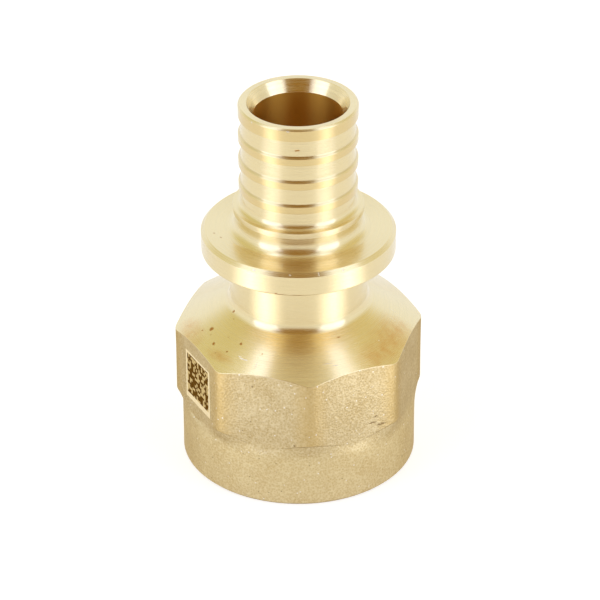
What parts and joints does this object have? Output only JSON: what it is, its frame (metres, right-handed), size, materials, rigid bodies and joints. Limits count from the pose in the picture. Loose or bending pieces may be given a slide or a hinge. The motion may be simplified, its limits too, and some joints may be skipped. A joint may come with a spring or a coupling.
{
  "type": "female threaded pipe adapter",
  "caption": "Brass adapter from a ribbed press-on pipe spigot with a stop collar to a female pipe thread, with an octagonal wrench body on a round base.",
  "frame": {"origin": "centre of the threaded mouth's face, which is the bottom of the part", "axes": "+Z along the axis from the threaded mouth towards the spigot's tip; two opposite wrench flats face +X and -X"},
  "size_m": [0.033, 0.033, 0.0546],
  "materials": {
    "brass": "satin turned surfaces, with a matt shot-blasted forging skin on the wrench flats and the round base"
  },
  "bodies": {
    "root": {"adapter_body": "brass"}
  },
  "joints": []
}
